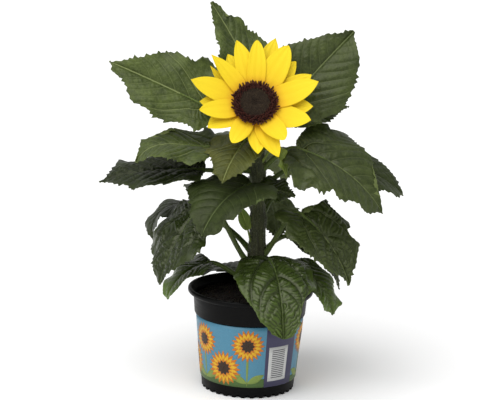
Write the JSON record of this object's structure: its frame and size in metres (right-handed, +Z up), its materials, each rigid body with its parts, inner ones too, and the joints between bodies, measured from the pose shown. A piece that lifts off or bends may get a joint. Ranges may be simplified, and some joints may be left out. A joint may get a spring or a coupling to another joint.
{
  "type": "potted dwarf sunflower plant",
  "caption": "Dwarf sunflower plant with an open yellow flower and toothed heart-shaped leaves on long stalks, standing in a round black nursery pot with a printed sleeve.",
  "frame": {"origin": "centre of the pot's flat underside, on the surface it stands on", "axes": "+Z up along the pot's axis, the flower looking along -Y and up, +X to the right of a viewer who faces the flower"},
  "size_m": [0.2916, 0.2046, 0.3647],
  "materials": {
    "pot": "moulded black polypropylene, satin",
    "sleeve": "printed plastic film, satin, sky blue ground",
    "soil": "dark brown moist potting peat, rough",
    "stem": "green, ribbed and hairy, matte",
    "leaf": "dark green leaf, satin on top, matte below",
    "young_leaf": "light green young leaf, satin",
    "petal": "golden yellow petal, matte",
    "fringe": "maroon disc florets, rough",
    "disc": "dark brown unopened disc florets, rough"
  },
  "bodies": {
    "root": {"pot": "pot", "label_sleeve": "sleeve", "soil": "soil", "stem": "stem", "receptacle": "stem", "petals_back": "petal", "petals_front": "petal", "disc_fringe": "fringe", "disc_centre": "disc", "leaf_crest": "leaf", "leaf_upper_right": "leaf", "leaf_middle_right": "leaf", "leaf_upper_left": "leaf", "leaf_left_shelf": "leaf", "leaf_left_low": "leaf", "leaf_front_small": "leaf", "leaf_front_left": "leaf", "leaf_front_right": "leaf", "leaf_right_large": "leaf", "leaf_right_far": "leaf", "leaf_right_droop": "leaf", "leaf_apron": "leaf", "leaf_right_curl": "leaf", "leaf_right_back": "leaf", "leaf_left_droop": "leaf", "leaf_left_hook": "leaf", "leaf_left_foot": "leaf", "leaf_back_right": "leaf", "leaf_back_left": "leaf", "leaf_back_middle": "leaf", "leaf_back_upper": "leaf", "leaf_back_low": "leaf", "leaf_small": "young_leaf", "young_shoot": "young_leaf"}
  },
  "joints": []
}
